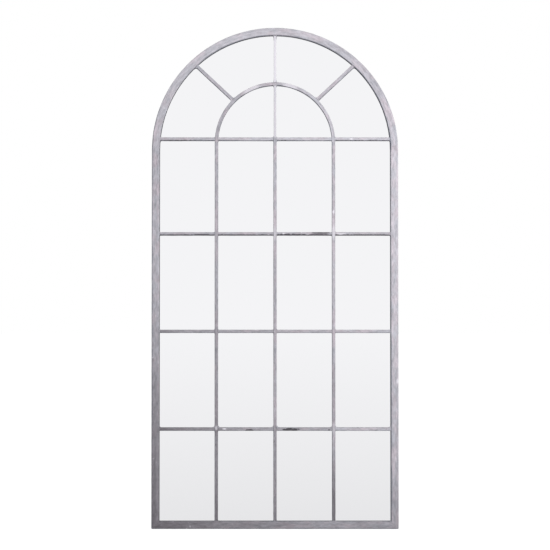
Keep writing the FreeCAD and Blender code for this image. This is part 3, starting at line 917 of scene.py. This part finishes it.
    def painted_lee_shade(self, across: Socket) -> Socket:
        """Return the share of wash that is taken away as painted shade at a side turned away from the light.

        Args:
            across: how far left of the bar's middle line a point is.

        Returns:
            The missing share.
        """
        tree, given = self.shape.tree, self.shape.given
        side = add(tree, MATH, {0: across}, operation="SIGN")
        to_shade_light = add(tree, READ, {"Name": "left_to_brush"})
        facing_shade_light = add(tree, MATH, {0: side, 1: to_shade_light}, operation="MULTIPLY")
        away = add(tree, RANGE, {"Value": facing_shade_light, "From": self.shade_side, "To Max": self.shade_side_share})
        distance = add(tree, MATH, {0: across}, operation="ABSOLUTE")
        half = add(tree, MATH, {0: given["Face"], 1: 0.5}, operation="MULTIPLY")
        clear = {0: given["Face"], 1: 0.5 - self.shade_side_reach_share, 2: -self.shade_side_reach}
        inner = add(tree, MATH, clear, operation="MULTIPLY_ADD")
        near = add(tree, RANGE, {"Value": distance, "From": (inner, half)}, interpolation_type="SMOOTHSTEP")
        return add(tree, MATH, {0: away, 1: near}, operation="MULTIPLY")

    def make(self, run: BarRun, seed: int, finish: Finish) -> bpy.types.Object:
        """Make one bar, closed at both ends.

        Args:
            run: the bar's section and middle line.
            seed: the number that the bar's dents come from.
            finish: the bar's finish.

        Returns:
            The bar as an object with a plain mesh.
        """
        values = {
            "Bent": run.bend.value,
            "Start": run.start,
            "End": run.end,
            "Bend Radius": run.radius,
            "Face": run.face,
            "Depth": run.depth,
            "Edge Radius": run.edge_radius,
            "Outer Side": run.outer.value,
            "Way Before": run.before,
            "Fade Start": run.fade[0],
            "Fade End": run.fade[1],
            "Seed": float(seed),
            "Material": finish.material(),
        }
        piece = self.shape.make("iron_" + run.node, bpy.data.meshes.new(run.node), values)
        shape = bmesh.new()
        shape.from_mesh(piece.data)
        rims = [edge for edge in shape.edges if edge.is_boundary]
        for sharp in bmesh.ops.holes_fill(shape, edges=rims)["faces"] + rims:
            sharp.smooth = False
        bmesh.ops.recalc_face_normals(shape, faces=shape.faces)
        shape.to_mesh(piece.data)
        shape.free()
        return piece


@dataclass
class IronWork:
    """The welded frame and the glazing bars, one swept piece for each CAD node."""

    sweep: BarSweep
    finish: Finish
    frame_edge_radius: float = 2 * MM
    bar_edge_radius: float = 1.5 * MM
    foot_radius: float = 4 * MM
    mitre_reach: float = 60 * MM
    mitre_crowding: float = 1.6
    rows: int = 4
    columns: int = 4
    # Depths where the wash fades on the frame's inner sides: painted shade next to the glass
    frame_fade: Pair = (0.8 * MM, 6 * MM)
    marks: tuple[WashMark, ...] = tuple(WashMark(kind, *row) for kind in MarkKind for row in MARKS[kind])

    def __post_init__(self) -> None:
        """Read the sizes that the bars share from the frame."""
        low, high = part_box("stile_right")
        self.frame_face = high.x - low.x
        self.frame_depth = high.y - low.y
        self.half_width = high.x
        self.opening = low.x
        self.spring = high.z
        low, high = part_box("upright_right")
        self.bar_face = high.x - low.x
        self.bar_depth = high.y - low.y
        self.bar_middle_y = middle(low.y, high.y)
        self.bar_front_y = low.y
        self.inner_spring = high.z
        self.inner_middle = middle(low.x, high.x)
        low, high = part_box("cross_bar_row1_col2")
        self.transom = middle(low.z, high.z)

    def straight(self, node: str) -> BarRun:
        """Return a bar that runs up or to the right, with the width and reach of its CAD node.

        Args:
            node: the CAD node.

        Returns:
            The bar.
        """
        low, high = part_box(node)
        x, y, z = (middle(*ends) for ends in zip(low, high))
        face, start, end = high.x - low.x, (x, y, low.z), (x, y, high.z)
        if high.z - low.z < face:
            face, start, end = high.z - low.z, (low.x, y, z), (high.x, y, z)
        return BarRun(node, face, high.y - low.y, self.bar_edge_radius, start, end)

    def frame_runs(self) -> list[BarRun]:
        """Return the right stile, the arch, the left stile and the rail, before their mitres are cut.

        They follow each other up the right side, over the head and down to the left foot, so that the
        brush strokes run on from one to the next.

        Returns:
            The four bars.
        """
        wide, top, line = self.half_width, self.spring, self.frame_face / 2
        half = wide - line
        centre = (0.0, 0.0, top)
        over = top + math.pi * half
        runs = (
            ("stile_right", (half, 0.0, 0.0), (half, 0.0, top), Bend.STRAIGHT, 0.0),
            ("frame_arch", centre, centre, Bend.HALF_ROUND, top),
            ("stile_left", (-half, 0.0, top), (-half, 0.0, 0.0), Bend.STRAIGHT, over),
            ("bottom_rail", (-wide, 0.0, line), (wide, 0.0, line), Bend.STRAIGHT, over + top),
        )
        section = (self.frame_face, self.frame_depth, self.frame_edge_radius)
        return [
            BarRun(node, *section, start, end, bend, half, Side.RIGHT, before, self.frame_fade)
            for node, start, end, bend, before in runs
        ]

    def glazing_runs(self) -> list[BarRun]:
        """Return the uprights, crown bars, inner arch, spokes and cross bars.

        Returns:
            The bars, in the order in which they are made.
        """
        uprights = ("upright_left", "upright_centre", "upright_right", "crown_bar_lower", "crown_bar_upper")
        runs = [self.straight(node) for node in uprights]
        centre = (0.0, self.bar_middle_y, self.inner_spring)
        section = (self.bar_face, self.bar_depth, self.bar_edge_radius)
        runs.append(BarRun("inner_arch", *section, centre, centre, Bend.HALF_ROUND, self.inner_middle))
        for node in ("spoke_left", "spoke_right"):
            runs.append(BarRun(node, *section, *self.spoke_ends(node)))
        for row in range(1, self.rows + 1):
            for column in range(1, self.columns + 1):
                runs.append(self.straight(f"cross_bar_row{row}_col{column}"))
        return runs

    def spoke_ends(self, node: str) -> list[Point]:
        """Return where a spoke's middle line leaves the inner arch and meets the frame.

        Args:
            node: the spoke's CAD node.

        Returns:
            The two ends of the middle line.
        """
        low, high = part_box(node)
        hub = Vector((0.0, self.transom))
        aim = Vector((middle(low.x, high.x), middle(low.z, high.z))) - hub
        aim.normalize()
        inner = (self.inner_spring, self.inner_middle + self.bar_face / 2)
        ends = []
        for height, radius in (inner, (self.spring, self.opening)):
            rise = hub.y - height
            reach = -aim.y * rise + math.sqrt(radius**2 - (aim.x * rise) ** 2)
            end = hub + aim * reach
            ends.append((end.x, self.bar_middle_y, end.y))
        return ends

    def at_frame(self, end: Point) -> bool:
        """Tell whether a bar's end meets the frame and not another bar.

        Args:
            end: the end of the bar's middle line.

        Returns:
            True at the frame.
        """
        if end[2] > self.spring:
            reach = math.hypot(end[0], end[2] - self.spring)
        else:
            reach = max(abs(end[0]), self.opening + self.frame_face - end[2])
        return reach > self.opening - self.bar_face

    def crowded(self, way: float) -> float:
        """Return a ring's new way from the foot end, so that the round corner has enough rings."""
        return self.mitre_reach * (max(0.0, way) / self.mitre_reach) ** self.mitre_crowding

    def mitre(self, piece: bpy.types.Object, along_rail: bool) -> None:
        """Slant the foot ends of a frame piece to the mitre and grind the foot corner round.

        Args:
            piece: a stile or the rail, square at its foot ends.
            along_rail: True for the rail.
        """
        for vertex in piece.data.vertices:
            side = math.copysign(1.0, vertex.co.x)
            inset, rise = self.half_width - abs(vertex.co.x), vertex.co.z
            if along_rail and inset < self.mitre_reach:
                inset = self.crowded(inset)
                inset = rise + inset * (1 - rise / self.mitre_reach)
            if not along_rail and rise < self.mitre_reach:
                rise = self.crowded(rise)
                rise = inset + rise * (1 - inset / self.mitre_reach)
            corner = Vector((self.foot_radius - inset, self.foot_radius - rise))
            if min(corner) > 0 and corner.length > self.foot_radius:
                corner.length = self.foot_radius
                inset, rise = self.foot_radius - corner.x, self.foot_radius - corner.y
            vertex.co.x = side * (self.half_width - inset)
            vertex.co.z = rise

    def paint(self, mesh: bpy.types.Mesh, run: BarRun) -> None:
        """Store the marks in the wash on the front of one bar's mesh.

        Args:
            mesh: the bar's mesh.
            run: the bar.
        """
        grain = [0.0] * (3 * len(mesh.vertices))
        mesh.attributes["grain"].data.foreach_get("vector", grain)
        for kind in MarkKind:
            marks = [mark for mark in self.marks if run.node.startswith(mark.node) and mark.kind is kind]
            shares = [
                max((mark.share(along - run.before, across) for mark in marks), default=0.0)
                if vertex.co.y < run.start[1] else 0.0
                for vertex, along, across in zip(mesh.vertices, grain[0::3], grain[1::3])
            ]
            mesh.attributes.new(kind.value, "FLOAT", "POINT").data.foreach_set("value", shares)

    def build(self) -> None:
        """Make every bar and let it stand for its CAD node."""
        runs = [(0, run) for run in self.frame_runs()]
        runs += enumerate(self.glazing_runs(), start=1)
        for seed, run in runs:
            piece = self.sweep.make(run, seed, self.finish)
            self.paint(piece.data, run)
            if run.node in ("stile_left", "stile_right", "bottom_rail"):
                self.mitre(piece, run.node == "bottom_rail")
            place_piece(piece, Slot.IRON, run.node)


# Welds
@dataclass(frozen=True)
class WeldCorner:
    """An inside corner that takes a bead of weld.

    The bead's first side runs from the corner along aim, an angle from the viewer's right towards up.
    Its second side runs at a right angle to that, or towards the viewer where it lies on a bar's face.
    """

    place: Point
    aim: float
    length: float
    first: float
    second: float
    on_face: bool = False


@dataclass
class WeldBeads:
    """The hollow beads in the corners where bars meet each other and the frame.

    The beads over the lowest row of cross bars are fuller than the others. Flares are the beads of the
    crown bars and spokes: how far each reaches along the bar, and how far beside it.
    """

    iron: IronWork
    side: float = 2.8 * MM
    full_side: float = 8 * MM
    full_row: str = "cross_bar_row4"
    face_side: float = 1.4 * MM
    flares: dict[str, Pair] = field(
        default_factory=lambda: {
            "crown_bar_upper": (12 * MM, 3.6 * MM),
            "crown_bar_lower": (5 * MM, 3.2 * MM),
            "spoke_left": (5 * MM, 6 * MM),
            "spoke_right": (5 * MM, 6 * MM),
        }
    )
    length_share: float = 0.9
    # Painted shade: the wash is thin where a bead faces down and near the glass
    shade_side: Pair = (-0.08, -0.45)
    fade: Pair = (-9 * MM, -0.5 * MM)
    hidden: float = 0.25
    lump: float = 0.5 * MM
    lump_size: float = 4 * MM
    size_spread: Pair = (0.75, 1.2)
    seed: int = 7
    arc_steps: int = 5
    length_steps: int = 6

    def end_corners(self, run: BarRun, end: Point, outwards: float) -> list[WeldCorner]:
        """Return the two corners beside one end of a bar.

        Args:
            run: the bar.
            end: the end of its middle line.
            outwards: the angle at which the bar leaves the joint.

        Returns:
            The corners on the bar's left and right.
        """
        across = outwards + math.pi / 2
        corners = []
        for sign in (1, -1):
            above = sign * math.sin(across) > 0
            side = self.full_side if above and run.node.startswith(self.full_row) else self.side
            on_bar, beside = self.flares.get(run.node, (side, side))
            aim, first, second = outwards, on_bar, beside
            if sign < 0:
                aim, first, second = outwards - math.pi / 2, beside, on_bar
            x = end[0] + sign * math.cos(across) * run.face / 2
            z = end[2] + sign * math.sin(across) * run.face / 2
            corners.append(WeldCorner((x, end[1], z), aim, run.depth * self.length_share, first, second))
        return corners

    def corners(self) -> list[WeldCorner]:
        """Return every corner that has a bead.

        Returns:
            The corners, in the order in which the beads' sizes are drawn.
        """
        iron, size = self.iron, self.face_side
        corners = []
        for run in iron.glazing_runs():
            if run.bend is Bend.HALF_ROUND:
                continue
            outwards = math.atan2(run.end[2] - run.start[2], run.end[0] - run.start[0])
            ends = [(run.start, outwards)]
            if not run.node.startswith("upright"):
                ends.append((run.end, outwards + math.pi))
            for end, aim in ends:
                corners += self.end_corners(run, end, aim)
                if iron.at_frame(end):
                    place = (end[0], iron.bar_front_y, end[2])
                    corners.append(WeldCorner(place, aim, run.face * self.length_share, size, size, True))
        for x, aim in ((-iron.opening, 0.0), (iron.opening, math.pi / 2)):
            foot = (x, iron.bar_middle_y, iron.frame_face)
            corners.append(WeldCorner(foot, aim, iron.bar_depth, self.side, self.side))
        return corners

    def bead(self) -> bpy.types.Object:
        """Return one bead of unit size: a hollow wedge along Y with its corner at the origin.

        Returns:
            The bead, not linked to the scene.
        """
        hidden = self.hidden
        outline = [(-hidden, -hidden), (1.0, -hidden)]
        for step in range(self.arc_steps + 1):
            turn = math.pi * (1.5 - step / self.arc_steps / 2)
            outline.append((1 + math.cos(turn), 1 + math.sin(turn)))
        outline.append((-hidden, 1.0))
        shape = bmesh.new()
        rings = [
            [shape.verts.new((x, step / self.length_steps - 0.5, z)) for x, z in outline]
            for step in range(self.length_steps + 1)
        ]
        join_rings(shape, rings)
        shape.faces.new(rings[0])
        shape.faces.new(rings[-1])
        bmesh.ops.recalc_face_normals(shape, faces=shape.faces)
        return bpy.data.objects.new("weld_bead", new_mesh("weld_bead", shape))

    def tree(self) -> NodeShape:
        """Return the tree that sets a lumpy bead on each point.

        Returns:
            The tree with its inputs.
        """
        floats = ("Lump", "Lump Size", "Least Size", "Greatest Size")
        sockets = {"Bead": "Object", **dict.fromkeys(floats, "Float"), "Seed": "Int", "Material": "Material"}
        shape = NodeShape("weld_beads", sockets)
        tree, given = shape.tree, shape.given
        bead = add(tree, "GeometryNodeObjectInfo", {"Object": given["Bead"]}).node.outputs["Geometry"]
        angles, sides = (
            add(tree, READ, {"Name": name}, data_type="FLOAT_VECTOR") for name in ("turn", "stretch")
        )
        turn = add(tree, "FunctionNodeEulerToRotation", {"Euler": angles})
        sizes = {"Min_001": given["Least Size"], "Max_001": given["Greatest Size"], "Seed": given["Seed"]}
        spread = add(tree, "FunctionNodeRandomValue", sizes, data_type="FLOAT")
        stretch = add(tree, VECTOR, {0: sides, "Scale": spread}, operation="SCALE")
        set_in = {"Points": given["Geometry"], "Instance": bead, "Rotation": turn, "Scale": stretch}
        beads = add(tree, "GeometryNodeInstanceOnPoints", set_in)
        real = add(tree, "GeometryNodeRealizeInstances", {"Geometry": beads})
        place = add(tree, "GeometryNodeInputPosition")
        per_lump = add(tree, MATH, {0: 1.0, 1: given["Lump Size"]}, operation="DIVIDE")
        noise = add(tree, NOISE, {"Vector": place, "Scale": per_lump, "Detail": 1.0})
        half = add(tree, MATH, {0: noise, 1: 0.5}, operation="SUBTRACT")
        rise = add(tree, MATH, {0: half, 1: given["Lump"]}, operation="MULTIPLY")
        outwards = add(tree, "GeometryNodeInputNormal")
        step = add(tree, VECTOR, {0: outwards, "Scale": rise}, operation="SCALE")
        lumpy = add(tree, "GeometryNodeSetPosition", {"Geometry": real, "Offset": step})
        placed = {"Geometry": lumpy, "Name": "grain", "Value": place}
        grained = add(tree, STORE, placed, data_type="FLOAT_VECTOR")
        # Painted shade on the beads' downward faces and next to the glass
        facing = add(tree, SEPARATE, {"Vector": outwards}).node.outputs["Z"]
        underside_shade = {"Value": facing, "From": self.shade_side, "To Max": self.iron.sweep.shade_side_share}
        wash = shape.wash_and_shade_share(self.fade, add(tree, RANGE, underside_shade))
        shape.close(add(tree, STORE, {"Geometry": grained, "Name": "wash", "Value": wash}))
        return shape

    def build(self) -> None:
        """Make all the beads as one piece."""
        corners = self.corners()
        points = bpy.data.meshes.new("weld_points")
        points.from_pydata([corner.place for corner in corners], [], [])
        turns, stretches = [], []
        for corner in corners:
            turns += [math.pi / 2 if corner.on_face else 0.0, -corner.aim, 0.0]
            stretches += [corner.first, corner.length, corner.second]
        for name, values in (("turn", turns), ("stretch", stretches)):
            points.attributes.new(name, "FLOAT_VECTOR", "POINT").data.foreach_set("vector", values)
        bead = self.bead()
        values = {
            "Bead": bead,
            "Lump": self.lump,
            "Lump Size": self.lump_size,
            "Least Size": self.size_spread[0],
            "Greatest Size": self.size_spread[1],
            "Seed": self.seed,
            "Material": self.iron.finish.material(),
        }
        piece = self.tree().make("iron_weld_beads", points, values)
        bpy.data.objects.remove(bead)
        place_piece(piece, Slot.IRON)


# Wall pads
@dataclass
class WallPads:
    """Two moulded rubber bumpers with a rounded rim and a dished face."""

    finish: Finish
    rim: float = 1.2 * MM
    dish: float = 0.7 * MM
    slope_share: float = 0.7
    slope_rims: float = 2.5
    flange: float = 0.8 * MM
    around: int = 48
    rim_steps: int = 6

    def outline(self, low: Vector, high: Vector) -> list[Pair]:
        """Return a pad's half section as radius and depth, from the frame to the dished middle.

        Args:
            low: the pad's lowest corner.
            high: its highest corner.

        Returns:
            The points of the half section.
        """
        foot = (high.z - low.z) / 2
        face = foot - self.flange
        waist = face - self.flange / 4
        points = [(0.0, low.y), (foot, low.y), (foot, low.y + self.flange), (waist, low.y + 2 * self.flange)]
        for step in range(self.rim_steps + 1):
            turn = step / self.rim_steps * math.pi / 2
            radius = face - self.rim + self.rim * math.cos(turn)
            points.append((radius, high.y - self.rim + self.rim * math.sin(turn)))
        points.append((face - self.slope_rims * self.rim, high.y - self.dish * self.slope_share))
        points += [(radius, high.y - self.dish) for radius in (face / 2, 0.0)]
        return points

    def build(self) -> None:
        """Turn both pads and let them stand for the CAD node."""
        low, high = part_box("wall_pads")
        shape = bmesh.new()
        radius = (high.z - low.z) / 2
        height = middle(low.z, high.z)
        for x in (low.x + radius, high.x - radius):
            rings = []
            for distance, y in self.outline(low, high):
                turns = [2 * math.pi * step / self.around for step in range(self.around if distance else 1)]
                ring = [(x + distance * math.cos(t), y, height + distance * math.sin(t)) for t in turns]
                rings.append([shape.verts.new(point) for point in ring])
            join_rings(shape, rings)
        bmesh.ops.recalc_face_normals(shape, faces=shape.faces)
        for face in shape.faces:
            face.smooth = True
        mesh = new_mesh("rubber_wall_pads", shape)
        mesh.materials.append(self.finish.material())
        place_piece(new_object("rubber_wall_pads", mesh), Slot.RUBBER, "wall_pads")


# Studio
@dataclass(frozen=True)
class Lamp:
    """One soft square lamp, which a mirror may show or not."""

    name: str
    place: Point
    aim: Point
    side: float
    power: float
    mirrored: bool


@dataclass
class Studio:
    """A pale floor, a white world, soft lamps and the camera."""

    focal_pixels: float = 2000.0
    camera_place: Point = (0.0, -6.495, 0.643)
    centre_height: float = 0.8215
    sensor: float = 36.0
    floor_side: float = 600.0
    ambient: float = 0.65
    floor_colour: str = "#e6e6e8"
    floor_white: float = 1.2
    floor_glow: float = 0.75
    floor_near_shade: float = 0.866
    floor_fade: float = 5.0
    lamps: tuple[Lamp, ...] = (
        Lamp("key_lamp", (0.75, -1.5, 1.5), (0.0, 0.0, 1.0), 0.8, 19.5, False),
        Lamp("back_lamp", (1.2, 2.4, 2.4), (0.0, 0.0, 0.8), 1.6, 25.0, True),
    )

    def build_world(self) -> None:
        """Make a world that is white to look at and gives a plain level of soft light."""
        world = bpy.data.worlds.new("white_studio")
        tree = empty_tree(world)
        path = add(tree, "ShaderNodeLightPath").node.outputs
        seen = path["Is Camera Ray"]
        for ray in ("Is Glossy Ray", "Is Transmission Ray"):
            seen = add(tree, MATH, {0: seen, 1: path[ray]}, operation="MAXIMUM")
        strength = add(tree, RANGE, {"Value": seen, "To": (self.ambient, 1.0)})
        light = add(tree, "ShaderNodeBackground", {"Color": WHITE, "Strength": strength})
        add(tree, "ShaderNodeOutputWorld", {"Surface": light})
        bpy.context.scene.world = world

    def build_floor(self) -> None:
        """Lay the floor, which shows almost white and keeps the object's shadow. In the mirror it glows,
        with painted shade that darkens it near the object.
        """
        shape = bmesh.new()
        bmesh.ops.create_grid(shape, x_segments=1, y_segments=1, size=self.floor_side / 2)
        floor = new_object("studio_floor", new_mesh("studio_floor", shape))
        material = bpy.data.materials.new("pale_studio_floor")
        tree = empty_tree(material)
        path = add(tree, "ShaderNodeLightPath").node.outputs
        seen = add(tree, MATH, {0: path["Is Camera Ray"], 1: self.floor_glow}, operation="MULTIPLY")
        matt = add(tree, "ShaderNodeBsdfDiffuse", {"Color": self.floor_colour})
        white = add(tree, "ShaderNodeEmission", {"Color": WHITE, "Strength": self.floor_white})
        plain = add(tree, "ShaderNodeMixShader", {0: seen, 1: matt, 2: white})
        # Painted shade: in the mirror the floor glows white, darker near the object
        place = add(tree, "ShaderNodeTexCoord").node.outputs["Object"]
        reach = add(tree, VECTOR, {0: place}, operation="LENGTH")
        further = add(tree, MATH, {0: reach, 1: self.floor_fade}, operation="ADD")
        share = add(tree, MATH, {0: reach, 1: further}, operation="DIVIDE")
        level = add(tree, RANGE, {"Value": share, "To": (self.floor_near_shade, 1.0)})
        mirrored = add(tree, "ShaderNodeEmission", {"Color": WHITE, "Strength": level})
        rays = {0: path["Is Glossy Ray"], 1: path["Is Transmission Ray"]}
        in_gloss = add(tree, MATH, rays, operation="MAXIMUM")
        mixed = add(tree, "ShaderNodeMixShader", {0: in_gloss, 1: plain, 2: mirrored})
        add(tree, "ShaderNodeOutputMaterial", {"Surface": mixed})
        floor.data.materials.append(material)

    def build_lamps(self) -> None:
        """Hang the lamps."""
        for lamp in self.lamps:
            light = bpy.data.lights.new(lamp.name, "AREA")
            light.size = lamp.side
            light.energy = lamp.power
            holder = new_object(lamp.name, light)
            holder.location = lamp.place
            aim = Vector(lamp.aim) - Vector(lamp.place)
            holder.rotation_euler = aim.to_track_quat("-Z", "Y").to_euler()
            holder.visible_camera = False
            holder.visible_glossy = lamp.mirrored

    def build_camera(self) -> None:
        """Set the camera at the photograph's place, turned up a little to the mirror's middle."""
        camera = bpy.data.cameras.new("camera")
        camera.sensor_width = self.sensor
        camera.lens = self.focal_pixels / IMAGE_SIDE * self.sensor
        holder = new_object("camera", camera)
        holder.location = self.camera_place
        tilt = math.atan2(self.centre_height - self.camera_place[2], -self.camera_place[1])
        holder.rotation_euler = (math.pi / 2 + tilt, 0.0, 0.0)
        bpy.context.scene.camera = holder

    def build(self) -> None:
        """Set up the studio."""
        bpy.context.scene.view_settings.view_transform = "Standard"
        self.build_world()
        self.build_floor()
        self.build_lamps()
        self.build_camera()


def main() -> None:
    """Build and dress every sub-assembly, then the studio."""
    logging.basicConfig(level=logging.INFO, format="%(message)s")
    iron = IronWork(BarSweep(), IronWash())
    iron.build()
    WeldBeads(iron).build()
    WallPads(RUBBER).build()
    dress(SilveredMirror(), "mirror_glass")
    dress(Hardboard(), "backing_board")
    dress(FOAM, "glazing_tape")
    dress(RUBBER, "setting_blocks", "edge_gasket")
    zinc = ZincPlate()
    dress(zinc, "backing_clips", "clip_screws", "hanger_strap_left", "hanger_strap_right")
    dress(zinc, "hang_ring_left", "hang_ring_right", "hanger_screws")
    Studio().build()


if __name__ == "__main__":
    main()
